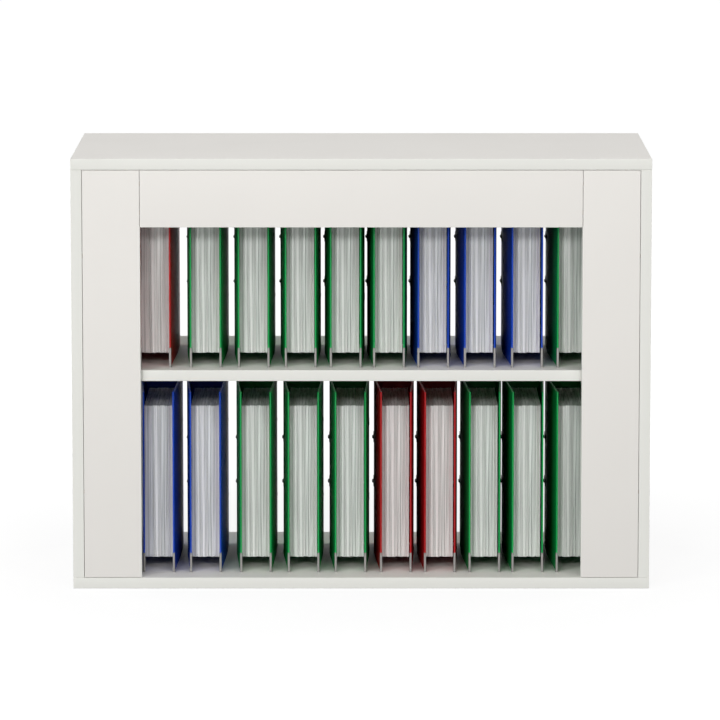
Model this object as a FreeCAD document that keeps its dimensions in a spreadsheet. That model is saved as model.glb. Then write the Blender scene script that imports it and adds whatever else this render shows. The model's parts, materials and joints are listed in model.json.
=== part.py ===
import FreeCAD, Part
import math
import os
import re

import Sketcher

# Open-backed board cabinet that holds two rows of lever-arch files, their spines towards the open back.
# Row frame: +Z up, origin under the middle of the base, the framed front at -Y and the open back at +Y.
# In a file's own frame, x runs from the front cover's outer face, y from the fore-edge and z from the base.

SIZES = {
    # Cabinet: its height follows from two rows of files with headroom above each
    "cabinet_width": 1000,
    "cabinet_depth": 450,
    "lower_headroom": 24.2,
    "upper_headroom": 32.2,
    # Boards: panels and shelf, then the front frame of two stiles and a rail
    "board_thickness": 19,
    "frame_thickness": 19,
    "stile_width": 100,
    "rail_height": 99.5,
    "shelf_end_gap": 0.5,
    "band_thickness": 1,
    # Cam fittings that pull the panels together
    "cam_diameter": 15,
    "cam_depth": 14.5,
    "cam_setback": 24,
    "cam_inset": 80,
    "cam_slot_width": 1.4,
    "cam_slot_length": 9,
    "cam_slot_depth": 2,
    "thread_diameter": 5,
    "thread_length": 11,
    "shank_diameter": 6,
    "shank_play": 0.5,
    # Wooden dowels
    "dowel_diameter": 8,
    "dowel_face_depth": 12,
    "dowel_edge_depth": 20,
    "panel_dowel_inset": 140,
    "stile_dowel_inset": 25,
    "rail_dowel_inset": 25,
    "side_dowel_inset": 150,
    # Shelf supports
    "support_length": 12,
    "support_width": 16,
    "support_height": 9,
    "pin_diameter": 5,
    "pin_length": 8,
    "support_inset": 60,
    # Fits of round pieces in blind bores: radial play, and spare depth at the end
    "bore_play": 0.1,
    "bore_end_play": 0.5,
    # Lever-arch file: case of two covers and a spine, and the metal shoes on its lower front corners
    "cover_margin": 29,
    "file_depth": 285,
    "spine_width": 71,
    "cover_thickness": 3,
    "fold_distance": 173,
    "front_taper": 10.5,
    "back_taper": 6,
    "finger_hole_diameter": 26,
    "finger_hole_height": 75,
    "shoe_height": 34,
    "shoe_wrap": 6,
    "shoe_gauge": 0.5,
    # Lever-arch file: mechanism
    "ring_spacing": 80,
    "wire_diameter": 4,
    "arch_span": 40,
    "arch_bend_radius": 12,
    "arch_stand_out": 2.8,
    "leg_clearance": 9,
    "post_length": 26,
    "slot_length": 50,
    "slot_width": 9,
    "plate_gauge": 1.5,
    "plate_length": 160,
    "plate_margin": 8,
    "plate_gap": 1,
    "lug_gauge": 2,
    "lug_width": 10,
    "bar_width": 6,
    "bar_length": 104,
    "bar_lift": 1.5,
    "lever_length": 95,
    "lever_width": 12,
    "lever_gauge": 3,
    "lever_lift": 1,
    "lever_gap": 0.5,
    # Lever-arch file: punched sheets
    "sheet_height": 269,
    "sheet_depth": 210,
    "sheet_lift": 20,
    "stack_gap": 0.6,
    "stack_slack": 2.2,
    "punch_margin": 12,
    "punch_diameter": 5.5,
    # Rows of files: each row is set out both ways from its fifth file
    "file_setback": 52,
    "file_rest_gap": 0.3,
    "upper_middle": -64.75,
    "upper_gap_1": 16.6,
    "upper_gap_2": 12.4,
    "upper_gap_3": 10.6,
    "upper_gap_4": 7.2,
    "upper_gap_5": 4.2,
    "upper_gap_6": 5.9,
    "upper_gap_7": 9.9,
    "upper_gap_8": 11,
    "upper_gap_9": 8.3,
    "lower_middle": -56.55,
    "lower_gap_1": 10.6,
    "lower_gap_2": 16.6,
    "lower_gap_3": 12.2,
    "lower_gap_4": 10.9,
    "lower_gap_5": 8.2,
    "lower_gap_6": 5.8,
    "lower_gap_7": 6.9,
    "lower_gap_8": 4.1,
    "lower_gap_9": 6.2,
}

FILES_PER_ROW = 10
MIDDLE_FILE = 5

# Places in the cabinet
FILE_HEIGHT = "(sheet_lift + sheet_height + cover_margin)"
SHELF_UNDERSIDE = f"(board_thickness + file_rest_gap + {FILE_HEIGHT} + lower_headroom)"
SHELF_TOP = f"({SHELF_UNDERSIDE} + board_thickness)"
CEILING = f"({SHELF_TOP} + file_rest_gap + {FILE_HEIGHT} + upper_headroom)"
INNER_WIDTH = "(cabinet_width - 2 * board_thickness)"
INNER_HEIGHT = f"({CEILING} - board_thickness)"
LEFT = "(-cabinet_width / 2)"
FRONT = "(-cabinet_depth / 2)"
INNER_LEFT = f"({LEFT} + board_thickness)"
INNER_RIGHT = "(cabinet_width / 2 - board_thickness)"
# Boards without their edge bands
CORE_WIDTH = "(cabinet_width - 2 * band_thickness)"
CORE_DEPTH = "(cabinet_depth - 2 * band_thickness)"
STILE_CORE = "(stile_width - band_thickness)"
RAIL_LENGTH = f"({INNER_WIDTH} - 2 * {STILE_CORE})"
RAIL_CORE = "(rail_height - band_thickness)"
SHELF_WIDTH = f"({INNER_WIDTH} - 2 * shelf_end_gap)"
SHELF_CORE = "(cabinet_depth - frame_thickness - 2 * band_thickness)"
# Bores that fit dowels, and the dowels' length
DOWEL_BORE = "(dowel_diameter + 2 * bore_play)"
FACE_BORE = "(dowel_face_depth + bore_end_play)"
EDGE_BORE = "(dowel_edge_depth + bore_end_play)"
DOWEL_LENGTH = "(dowel_face_depth + dowel_edge_depth)"
# Places in a file
LEG_Y = "(file_depth - cover_thickness - leg_clearance)"
POST_Y = f"({LEG_Y} - arch_span)"
ARCH_TOP = "(wire_diameter / 2 - arch_stand_out)"
ARCH_X = f"({ARCH_TOP} + arch_bend_radius)"
ARCH_Y = f"({POST_Y} + arch_span / 2)"
FILE_MIDDLE = f"({FILE_HEIGHT} / 2)"
PLATE_X = "(spine_width - cover_thickness - plate_gauge)"
POST_TIP = f"({PLATE_X} - post_length)"
BAR_X = f"({PLATE_X} - bar_lift - bar_width)"
LEVER_X = f"({BAR_X} - lever_lift - lever_gauge)"
LEVER_Y = f"({LEG_Y} - wire_diameter / 2 - lever_gap - lever_width)"
SHEET_FRONT = f"({POST_Y} + punch_margin - sheet_depth)"
SHEET_TAPER = f"(1 - {SHEET_FRONT} / fold_distance)"
STACK_LEFT = f"(front_taper * {SHEET_TAPER} + cover_thickness + stack_gap)"
STACK_RIGHT = f"(spine_width - back_taper * {SHEET_TAPER} - cover_thickness - stack_slack)"

UPRIGHT = FreeCAD.Rotation()
ALONG_X = FreeCAD.Rotation(FreeCAD.Vector(0, 1, 0), 90)
ALONG_Y = FreeCAD.Rotation(FreeCAD.Vector(1, 0, 0), -90)
HALF_TURN = FreeCAD.Rotation(FreeCAD.Vector(0, 0, 1), 180)
UPSIDE_DOWN = FreeCAD.Rotation(FreeCAD.Vector(1, 0, 0), 180)
TIPPED_OVER = FreeCAD.Rotation(FreeCAD.Vector(0, 1, 0), 180)
QUARTER_TURN = FreeCAD.Rotation(FreeCAD.Vector(0, 0, 1), 90)
QUARTER_RING = 90
LEAST_CUT = 1

doc = FreeCAD.newDocument("file_rack")
sheet = doc.addObject("Spreadsheet::Sheet", "Sizes")
nodes = []


def fill_sheet():
    """Write each size in a cell of its own, with its name as the alias."""
    for row, (alias, value) in enumerate(SIZES.items(), start=1):
        sheet.set(f"A{row}", str(value))
        sheet.setAlias(f"A{row}", alias)
    doc.recompute()


def formula(text):
    """Point each size name in a formula at its cell."""
    def cell(word):
        return f"Sizes.{word.group()}" if word.group() in SIZES else word.group()
    return re.sub(r"[a-z]\w+", cell, text)


def bind(item, **sizes):
    """Tie properties of an object to formulas."""
    for name, text in sizes.items():
        item.setExpression(name, formula(text))


def put(item, place, turn=UPRIGHT):
    """Turn an object and tie its place to three formulas."""
    item.Placement = FreeCAD.Placement(FreeCAD.Vector(), turn)
    for axis, text in zip("xyz", place):
        item.setExpression(f"Placement.Base.{axis}", formula(text))
    return item


def new_sketch(body, name, role, lift):
    """Attach a sketch to one of the body's own origin planes, lifted along the plane's normal."""
    sketch = body.newObject("Sketcher::SketchObject", name)
    plane = next(item for item in body.Origin.OriginFeatures if item.Role == role)
    sketch.AttachmentSupport = [(plane, "")]
    sketch.MapMode = "FlatFace"
    sketch.setExpression("AttachmentOffset.Base.z", formula(lift))
    return sketch


def fix_point(sketch, geometry, vertex, x, y):
    """Tie one point of a sketch to the sketch's origin."""
    for kind, text in (("DistanceX", x), ("DistanceY", y)):
        index = sketch.addConstraint(Sketcher.Constraint(kind, -1, 1, geometry, vertex, 1.0))
        sketch.setExpression(f"Constraints[{index}]", formula(text))


def draw_polygon(sketch, corners):
    """Draw a closed outline through corners that are pairs of formulas."""
    first = sketch.GeometryCount
    count = len(corners)
    angles = [2 * math.pi * i / count for i in range(count)]
    start = [FreeCAD.Vector(math.cos(angle), math.sin(angle), 0) for angle in angles]
    for i in range(count):
        sketch.addGeometry(Part.LineSegment(start[i], start[(i + 1) % count]), False)
    for i, (x, y) in enumerate(corners):
        following = first + (i + 1) % count
        sketch.addConstraint(Sketcher.Constraint("Coincident", first + i, 2, following, 1))
        fix_point(sketch, first + i, 1, x, y)


def draw_circle(sketch, x, y, diameter):
    """Draw a circle from its centre and diameter."""
    circle = Part.Circle(FreeCAD.Vector(1, 1, 0), FreeCAD.Vector(0, 0, 1), 1)
    index = sketch.addGeometry(circle, False)
    fix_point(sketch, index, 3, x, y)
    constraint = sketch.addConstraint(Sketcher.Constraint("Diameter", index, 2.0))
    sketch.setExpression(f"Constraints[{constraint}]", formula(diameter))


def rectangle(x0, y0, x1, y1):
    """Give the corners of a rectangle."""
    return [(x0, y0), (x1, y0), (x1, y1), (x0, y1)]


def new_body(name):
    """Make an empty body whose label is its name."""
    body = doc.addObject("PartDesign::Body", name)
    body.Label = name
    return body


def add(body, name, corners, length, lift="0"):
    """Pad an outline that lies in plan upwards."""
    outline = new_sketch(body, f"{body.Name}_{name}_outline", "XY_Plane", lift)
    draw_polygon(outline, corners)
    feature = body.newObject("PartDesign::Pad", f"{body.Name}_{name}")
    feature.Profile = outline
    bind(feature, Length=length)


def cut(body, name, plane, along, depth, circles=(), polygons=()):
    """Pocket outlines from a lifted plane, along its normal or against it, and see that they cut."""
    doc.recompute()
    before = body.Shape.Volume
    profile = new_sketch(body, f"{body.Name}_{name}_profile", *plane)
    for circle in circles:
        draw_circle(profile, *circle)
    for corners in polygons:
        draw_polygon(profile, corners)
    pocket = body.newObject("PartDesign::Pocket", f"{body.Name}_{name}")
    pocket.Profile = profile
    pocket.Reversed = along
    bind(pocket, Length=depth)
    doc.recompute()
    if body.Shape.Volume > before - LEAST_CUT:
        raise RuntimeError(f"{pocket.Name} cuts nothing")


def panel(name, size, place):
    """Make a board from its low corner and keep it as a node."""
    body = new_body(name)
    add(body, "board", rectangle("0", "0", size[0], size[1]), size[2])
    put(body, place)
    nodes.append(body)
    return body


def slab(name, size, place):
    """Make a box from its low corner."""
    box = doc.addObject("Part::Box", name)
    bind(box, Length=size[0], Width=size[1], Height=size[2])
    return put(box, place)


def rod(name, diameter, length, place, turn=UPRIGHT):
    """Make a round bar from the centre of its first end."""
    bar = doc.addObject("Part::Cylinder", name)
    bind(bar, Radius=f"({diameter}) / 2", Height=length)
    return put(bar, place, turn)


def joined(name, pieces):
    """Fuse shapes that are one piece."""
    fuse = doc.addObject("Part::MultiFuse", name)
    fuse.Shapes = pieces
    return fuse


def without(name, base, tool):
    """Cut one shape out of another."""
    result = doc.addObject("Part::Cut", name)
    result.Base = base
    result.Tool = tool
    return result


def placed(name, pieces, place=("0", "0", "0"), turn=UPRIGHT):
    """Set copies of finished pieces in one place."""
    copy = doc.addObject("Part::Compound", name)
    copy.Label = name
    copy.Links = pieces
    return put(copy, place, turn)


def keep(name, pieces, place=("0", "0", "0")):
    """Keep separate solids as one node."""
    nodes.append(placed(name, pieces, place))


def both_ends(inset, span):
    """Give a distance measured from each end of a length."""
    return (f"({inset})", f"({span} - {inset})")


def stile_insets():
    """Give the dowels' places across a stile, from its outer edge."""
    return both_ends("stile_dowel_inset", "stile_width")


def panel_joint_places(inset):
    """Give the plan places of fittings in the ends of both side panels."""
    half_board = "board_thickness / 2"
    return [(x, y) for x in (f"({LEFT} + {half_board})", f"(cabinet_width / 2 - {half_board})")
            for y in (f"({FRONT} + {inset})", f"(cabinet_depth / 2 - {inset})")]


def stile_joint_places():
    """Give the plan places of the dowels in the ends of both stiles."""
    y = f"({FRONT} + frame_thickness / 2)"
    return [(x, y) for inset in stile_insets()
            for x in (f"({INNER_LEFT} + {inset})", f"({INNER_RIGHT} - {inset})")]


def make_top_and_bottom():
    """Make the two full-width panels, with blind bores in the faces that meet the uprights."""
    corner = (f"{LEFT} + band_thickness", f"{FRONT} + band_thickness")

    def bores(places, diameter):
        return [(f"{x} - ({corner[0]})", f"{y} - ({corner[1]})", diameter) for x, y in places]

    bolts = bores(panel_joint_places("cam_inset"), "thread_diameter + 2 * bore_play")
    dowels = bores(panel_joint_places("panel_dowel_inset") + stile_joint_places(), DOWEL_BORE)
    for name, z, inner_face, up in (("top_panel", CEILING, "0", True),
                                    ("bottom_panel", "0", "board_thickness", False)):
        body = panel(name, (CORE_WIDTH, CORE_DEPTH, "board_thickness"), (*corner, z))
        plane = ("XY_Plane", inner_face)
        cut(body, "bolt_bores", plane, up, "thread_length + bore_end_play", bolts)
        cut(body, "dowel_bores", plane, up, FACE_BORE, dowels)


def make_side_panel(name, x, inner_face, inwards):
    """Make a side panel: cams, pins and dowels enter its inner face, bolts and dowels its ends."""
    body = panel(name, ("board_thickness", CORE_DEPTH, INNER_HEIGHT),
                 (x, f"{FRONT} + band_thickness", "board_thickness"))

    def depths(inset):
        return [f"({y} - band_thickness)" for y in both_ends(inset, "cabinet_depth")]

    face = ("YZ_Plane", inner_face)
    cams = [(y, z, "cam_diameter + 2 * bore_play") for y in depths("cam_inset")
            for z in both_ends("cam_setback", INNER_HEIGHT)]
    cut(body, "cam_bores", face, inwards, "cam_depth", cams)
    pin_height = f"{SHELF_UNDERSIDE} - board_thickness - support_height / 2"
    pins = [(y, pin_height, "pin_diameter + 2 * bore_play") for y in depths("support_inset")]
    cut(body, "pin_bores", face, inwards, "pin_length + bore_end_play", pins)
    stile_dowels = [("frame_thickness / 2 - band_thickness", z, DOWEL_BORE)
                    for z in both_ends("side_dowel_inset", INNER_HEIGHT)]
    cut(body, "dowel_bores", face, inwards, FACE_BORE, stile_dowels)
    middle = "board_thickness / 2"
    bolts = [(middle, y, "shank_diameter + 2 * shank_play") for y in depths("cam_inset")]
    dowels = [(middle, y, DOWEL_BORE) for y in depths("panel_dowel_inset")]
    for end, lift, up in (("top", INNER_HEIGHT, False), ("bottom", "0", True)):
        cut(body, f"{end}_bolt_bores", ("XY_Plane", lift), up, "cam_setback", bolts)
        cut(body, f"{end}_dowel_bores", ("XY_Plane", lift), up, EDGE_BORE, dowels)


def make_stile(name, x, outer_edge, opening_edge, rightwards):
    """Make an upright of the front frame; rightwards says which way its outer edge is bored."""
    body = panel(name, (STILE_CORE, "frame_thickness", INNER_HEIGHT), (x, FRONT, "board_thickness"))
    middle = "frame_thickness / 2"
    sides = [(middle, z, DOWEL_BORE) for z in both_ends("side_dowel_inset", INNER_HEIGHT)]
    cut(body, "outer_bores", ("YZ_Plane", outer_edge), rightwards, EDGE_BORE, sides)
    rails = [(middle, f"{INNER_HEIGHT} - {inset}", DOWEL_BORE)
             for inset in both_ends("rail_dowel_inset", "rail_height")]
    cut(body, "rail_bores", ("YZ_Plane", opening_edge), not rightwards, FACE_BORE, rails)
    sign = "+" if rightwards else "-"
    ends = [(f"{outer_edge} {sign} {inset}", middle, DOWEL_BORE) for inset in stile_insets()]
    for end, lift, up in (("top", INNER_HEIGHT, False), ("bottom", "0", True)):
        cut(body, f"{end}_bores", ("XY_Plane", lift), up, EDGE_BORE, ends)


def make_rail():
    """Make the rail between the stiles, under the top panel."""
    size = (RAIL_LENGTH, "frame_thickness", RAIL_CORE)
    body = panel("top_rail", size, (f"{INNER_LEFT} + {STILE_CORE}", FRONT, f"{CEILING} - {RAIL_CORE}"))
    dowels = [("frame_thickness / 2", f"{RAIL_CORE} - {inset}", DOWEL_BORE)
              for inset in both_ends("rail_dowel_inset", "rail_height")]
    for end, lift, rightwards in (("left", "0", True), ("right", RAIL_LENGTH, False)):
        cut(body, f"{end}_bores", ("YZ_Plane", lift), rightwards, EDGE_BORE, dowels)


def make_shelf():
    """Make the shelf that lies on four supports behind the front frame."""
    panel("middle_shelf", (SHELF_WIDTH, SHELF_CORE, "board_thickness"),
          (f"{INNER_LEFT} + shelf_end_gap", f"{FRONT} + frame_thickness + band_thickness", SHELF_UNDERSIDE))


def make_edge_bands():
    """Make the bands glued over the boards' cut edges."""
    band = "band_thickness"
    board = "board_thickness"
    rear = "cabinet_depth / 2 - band_thickness"
    for name, z in (("top_edge_bands", CEILING), ("bottom_edge_bands", "0")):
        long_strip = ("cabinet_width", band, board)
        end_strip = (band, CORE_DEPTH, board)
        behind_front = f"{FRONT} + {band}"
        keep(name, [slab(f"{name}_front", long_strip, (LEFT, FRONT, z)),
                    slab(f"{name}_rear", long_strip, (LEFT, rear, z)),
                    slab(f"{name}_left", end_strip, (LEFT, behind_front, z)),
                    slab(f"{name}_right", end_strip, (f"cabinet_width / 2 - {band}", behind_front, z))])
    upright_strip = (board, band, INNER_HEIGHT)
    keep("side_edge_bands", [slab(f"side_band_{side}_{end}", upright_strip, (x, y, board))
                             for side, x in (("left", LEFT), ("right", INNER_RIGHT))
                             for end, y in (("front", FRONT), ("rear", rear))])
    stile_strip = (band, "frame_thickness", f"{INNER_HEIGHT} - rail_height")
    keep("stile_edge_bands", [slab(f"stile_band_{side}", stile_strip, (x, FRONT, board))
                              for side, x in (("left", f"{INNER_LEFT} + {STILE_CORE}"),
                                              ("right", f"{INNER_RIGHT} - stile_width"))])
    keep("rail_edge_band", [slab("rail_band", (RAIL_LENGTH, "frame_thickness", band),
                                 (f"{INNER_LEFT} + {STILE_CORE}", FRONT, f"{CEILING} - rail_height"))])
    shelf_strip = (SHELF_WIDTH, band, board)
    keep("shelf_edge_bands", [slab(f"shelf_band_{end}", shelf_strip,
                                   (f"{INNER_LEFT} + shelf_end_gap", y, SHELF_UNDERSIDE))
                              for end, y in (("front", f"{FRONT} + frame_thickness"), ("rear", rear))])


def make_cams():
    """Make the cams in the side panels, each open towards the bolt that it grips."""
    barrel = rod("cam_barrel", "cam_diameter", "cam_depth", ("0", "0", "0"), ALONG_X)
    slot = slab("cam_slot", ("cam_slot_depth", "cam_slot_width", "cam_slot_length"),
                ("cam_depth - cam_slot_depth", "-cam_slot_width / 2", "-cam_slot_length / 2"))
    window = rod("cam_window", "shank_diameter + 2 * shank_play", "cam_diameter",
                 ("cam_depth - board_thickness / 2", "0", "-shank_diameter / 2"))
    cam = without("cam", without("cam_slotted", barrel, slot), window)
    turns = {("left", "top"): UPRIGHT, ("left", "bottom"): UPSIDE_DOWN,
             ("right", "top"): HALF_TURN, ("right", "bottom"): TIPPED_OVER}
    copies = []
    for side, x in (("left", f"{INNER_LEFT} - cam_depth"), ("right", f"{INNER_RIGHT} + cam_depth")):
        for level, z in (("top", f"{CEILING} - cam_setback"), ("bottom", "board_thickness + cam_setback")):
            for end, y in (("front", f"{FRONT} + cam_inset"), ("rear", "cabinet_depth / 2 - cam_inset")):
                name = f"cam_{side}_{level}_{end}"
                copies.append(placed(name, [cam], (x, y, z), turns[side, level]))
    keep("cam_housings", copies)


def make_bolts():
    """Make the bolts that screw into the top and bottom panels and reach into the cams."""
    thread = rod("bolt_thread", "thread_diameter", "thread_length", ("0", "0", "-thread_length"))
    shank = rod("bolt_shank", "shank_diameter", "cam_setback", ("0", "0", "0"))
    bolt = joined("bolt", [thread, shank])
    copies = []
    for i, (x, y) in enumerate(panel_joint_places("cam_inset")):
        copies.append(placed(f"bolt_top_{i}", [bolt], (x, y, CEILING), UPSIDE_DOWN))
        copies.append(placed(f"bolt_bottom_{i}", [bolt], (x, y, "board_thickness")))
    keep("cam_bolts", copies)


def end_dowels(name, places):
    """Make the upright dowels at the upper and lower end of each of some plan places."""
    dowels = []
    for i, (x, y) in enumerate(places):
        for level, z in (("top", f"{CEILING} - dowel_edge_depth"),
                         ("bottom", "board_thickness - dowel_face_depth")):
            dowels.append(rod(f"{name}_{level}_{i}", "dowel_diameter", DOWEL_LENGTH, (x, y, z)))
    return dowels


def make_dowels():
    """Make the dowels of the carcass and of the front frame."""
    keep("panel_dowels", end_dowels("panel_dowel", panel_joint_places("panel_dowel_inset")))
    frame_dowels = end_dowels("stile_dowel", stile_joint_places())
    y = f"{FRONT} + frame_thickness / 2"
    side_starts = {"left": f"{INNER_LEFT} - dowel_face_depth", "right": f"{INNER_RIGHT} - dowel_edge_depth"}
    rail_starts = {"left": f"{INNER_LEFT} + {STILE_CORE} - dowel_face_depth",
                   "right": f"{INNER_RIGHT} - {STILE_CORE} - dowel_edge_depth"}
    for side in ("left", "right"):
        for i, z in enumerate(both_ends("side_dowel_inset", INNER_HEIGHT)):
            frame_dowels.append(rod(f"side_dowel_{side}_{i}", "dowel_diameter", DOWEL_LENGTH,
                                    (side_starts[side], y, f"board_thickness + {z}"), ALONG_X))
        for i, inset in enumerate(both_ends("rail_dowel_inset", "rail_height")):
            frame_dowels.append(rod(f"rail_dowel_{side}_{i}", "dowel_diameter", DOWEL_LENGTH,
                                    (rail_starts[side], y, f"{CEILING} - {inset}"), ALONG_X))
    keep("frame_dowels", frame_dowels)


def make_shelf_supports():
    """Make the pinned blocks that carry the shelf's ends."""
    block = slab("support_block", ("support_length", "support_width", "support_height"),
                 ("0", "-support_width / 2", "-support_height"))
    pin = rod("support_pin", "pin_diameter", "pin_length + support_length / 2",
              ("-pin_length", "0", "-support_height / 2"), ALONG_X)
    support = joined("support", [block, pin])
    copies = []
    for side, x, turn in (("left", INNER_LEFT, UPRIGHT), ("right", INNER_RIGHT, HALF_TURN)):
        for end, y in (("front", f"{FRONT} + support_inset"), ("rear", "cabinet_depth / 2 - support_inset")):
            copies.append(placed(f"support_{side}_{end}", [support], (x, y, SHELF_UNDERSIDE), turn))
    keep("shelf_supports", copies)


def ring_levels():
    """Give the heights of a file's two rings above its base."""
    return both_ends(f"({FILE_MIDDLE} - ring_spacing / 2)", FILE_HEIGHT)


def make_case_boards():
    """Make a file's front cover, spine and back cover; the covers lean in from fold to fore-edge."""
    height = f"{FILE_HEIGHT} - shoe_gauge"
    front = new_body("front_cover")
    add(front, "board", [("front_taper", "0"), ("front_taper + cover_thickness", "0"),
                         ("cover_thickness", "fold_distance"), ("cover_thickness", "file_depth"),
                         ("0", "file_depth"), ("0", "fold_distance")], height, "shoe_gauge")
    slots = []
    for z in ring_levels():
        slots.append(rectangle(f"{ARCH_Y} - slot_length / 2", f"{z} - slot_width / 2",
                               f"{ARCH_Y} + slot_length / 2", f"{z} + slot_width / 2"))
    cut(front, "arch_slots", ("YZ_Plane", "cover_thickness"), False, "cover_thickness", polygons=slots)
    back = new_body("back_cover")
    outer = "spine_width"
    inner = "(spine_width - cover_thickness)"
    add(back, "board", [(f"{inner} - back_taper", "0"), (f"{outer} - back_taper", "0"),
                        (outer, "fold_distance"), (outer, "file_depth"),
                        (inner, "file_depth"), (inner, "fold_distance")], height, "shoe_gauge")
    spine = new_body("spine_board")
    spine_inside = "(file_depth - cover_thickness)"
    corners = rectangle("cover_thickness", spine_inside, inner, "file_depth")
    add(spine, "board", corners, height, "shoe_gauge")
    hole = [("spine_width / 2", "finger_hole_height", "finger_hole_diameter")]
    cut(spine, "finger_hole", ("XZ_Plane", f"-{spine_inside}"), False, "cover_thickness", hole)
    return [front, spine, back]


def make_shoe(name, low_at_front, low_at_wrap):
    """Make the metal channel on a cover's lower front corner, from the cover's low-x face."""
    high_at_front = f"{low_at_front} + cover_thickness"
    high_at_wrap = f"{low_at_wrap} + cover_thickness"
    board = [(high_at_wrap, "shoe_wrap"), (high_at_front, "0"),
             (low_at_front, "0"), (low_at_wrap, "shoe_wrap")]
    outline = [(f"{low_at_wrap} - shoe_gauge", "shoe_wrap"),
               (f"{low_at_front} - shoe_gauge", "-shoe_gauge"),
               (f"{high_at_front} + shoe_gauge", "-shoe_gauge"),
               (f"{high_at_wrap} + shoe_gauge", "shoe_wrap")]
    shoe = new_body(name)
    add(shoe, "sole", outline, "shoe_gauge")
    add(shoe, "channel", outline + board, "shoe_height - shoe_gauge", "shoe_gauge")
    return shoe


def make_shoes():
    """Make the two shoes of a file, which follow the lean of its covers."""
    lean = "(1 - shoe_wrap / fold_distance)"
    back_face = "(spine_width - cover_thickness)"
    return [make_shoe("front_shoe", "front_taper", f"front_taper * {lean}"),
            make_shoe("back_shoe", f"{back_face} - back_taper", f"{back_face} - back_taper * {lean}")]


def make_mechanism_base():
    """Make the plate on the back cover with the lugs that hold the bar, and the two posts on it."""
    plate_size = ("plate_gauge", f"file_depth - cover_thickness - plate_gap - {POST_Y} + plate_margin",
                  "plate_length")
    pieces = [slab("plate", plate_size,
                   (PLATE_X, f"{POST_Y} - plate_margin", f"{FILE_MIDDLE} - plate_length / 2"))]
    lug_size = (f"{PLATE_X} - {BAR_X}", "lug_width", "lug_gauge")
    lug_levels = (f"{FILE_MIDDLE} + bar_length / 2", f"{FILE_MIDDLE} - bar_length / 2 - lug_gauge")
    for i, z in enumerate(lug_levels):
        pieces.append(slab(f"lug_{i}", lug_size, (BAR_X, f"{LEG_Y} - lug_width / 2", z)))
    posts = [rod(f"post_{i}", "wire_diameter", "post_length", (POST_TIP, POST_Y, z), ALONG_X)
             for i, z in enumerate(ring_levels())]
    return [joined("base_plate", pieces), *posts]


def make_arch(name, z):
    """Make one arch: a leg over its post, a rounded top and a leg that stands on the bar."""
    pieces = []
    for end, y, turn in (("front", f"{POST_Y} + arch_bend_radius", HALF_TURN),
                         ("rear", f"{LEG_Y} - arch_bend_radius", QUARTER_TURN)):
        bend = doc.addObject("Part::Torus", f"{name}_{end}_bend")
        bend.Angle3 = QUARTER_RING
        bind(bend, Radius1="arch_bend_radius", Radius2="wire_diameter / 2")
        pieces.append(put(bend, (ARCH_X, y, z), turn))
    pieces.append(rod(f"{name}_top", "wire_diameter", "arch_span - 2 * arch_bend_radius",
                      (ARCH_TOP, f"{POST_Y} + arch_bend_radius", z), ALONG_Y))
    pieces.append(rod(f"{name}_front_leg", "wire_diameter", f"{POST_TIP} - {ARCH_X}",
                      (ARCH_X, POST_Y, z), ALONG_X))
    pieces.append(rod(f"{name}_rear_leg", "wire_diameter", f"{BAR_X} - {ARCH_X}",
                      (ARCH_X, LEG_Y, z), ALONG_X))
    return joined(name, pieces)


def make_arches():
    """Make the two arches, the bar that carries them and the lever that turns it."""
    bar = slab("arch_bar", ("bar_width", "bar_width", "bar_length"),
               (BAR_X, f"{LEG_Y} - bar_width / 2", f"{FILE_MIDDLE} - bar_length / 2"))
    arm_size = (f"{BAR_X} - {LEVER_X}", f"{LEG_Y} + bar_width / 2 - {LEVER_Y}", "lever_width")
    arm = slab("lever_arm", arm_size, (LEVER_X, LEVER_Y, f"{FILE_MIDDLE} - lever_width / 2"))
    handle = slab("lever_handle", ("lever_gauge", "lever_width", "lever_length"),
                  (LEVER_X, LEVER_Y, FILE_MIDDLE))
    arches = [make_arch(f"arch_{i}", z) for i, z in enumerate(ring_levels())]
    return [*arches, bar, joined("lever", [arm, handle])]


def make_sheets():
    """Make the block of punched sheets that hangs on the posts."""
    body = new_body("sheet_block")
    thickness = f"({STACK_RIGHT} - {STACK_LEFT})"
    add(body, "block", rectangle("0", "0", thickness, "sheet_depth"), "sheet_height")
    punches = [("sheet_depth - punch_margin", f"{z} - sheet_lift", "punch_diameter")
               for z in ring_levels()]
    cut(body, "punched_holes", ("YZ_Plane", thickness), False, thickness, punches)
    return put(body, (STACK_LEFT, SHEET_FRONT, "sheet_lift"))


def file_left(row, number):
    """Give the place of a file's front cover along its row."""
    start = f"{row}_middle"
    step = 1 if number > MIDDLE_FILE else -1
    sign = "+" if step > 0 else "-"
    first, last = sorted((number, MIDDLE_FILE))
    gaps = [f"{sign} {row}_gap_{i} {sign} spine_width" for i in range(first, last)]
    return " ".join([start, *gaps])


def make_rows(case_pieces, sheet_pieces):
    """Stand ten files on the bottom panel and ten on the shelf."""
    y = f"{FRONT} + file_setback"
    for row, floor in (("upper", SHELF_TOP), ("lower", "board_thickness")):
        for number in range(1, FILES_PER_ROW + 1):
            place = (file_left(row, number), y, f"{floor} + file_rest_gap")
            keep(f"file_{row}_{number:02d}_case", case_pieces, place)
            keep(f"file_{row}_{number:02d}_sheets", sheet_pieces, place)


def check_model():
    """Stop if any object failed or any node is not made of valid solids."""
    for item in doc.Objects:
        if "Invalid" in item.State or "Error" in item.State:
            raise RuntimeError(f"{item.Name} failed: {item.State}")
    for item in nodes:
        shape = item.Shape
        if shape.isNull() or not shape.isValid() or not shape.Solids:
            raise RuntimeError(f"{item.Label} is not a valid solid")


def export_nodes():
    """Write each node's shape under its label."""
    os.makedirs("parts", exist_ok=True)
    for item in nodes:
        item.Shape.exportStep(os.path.join("parts", f"{item.Label}.step"))


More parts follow.
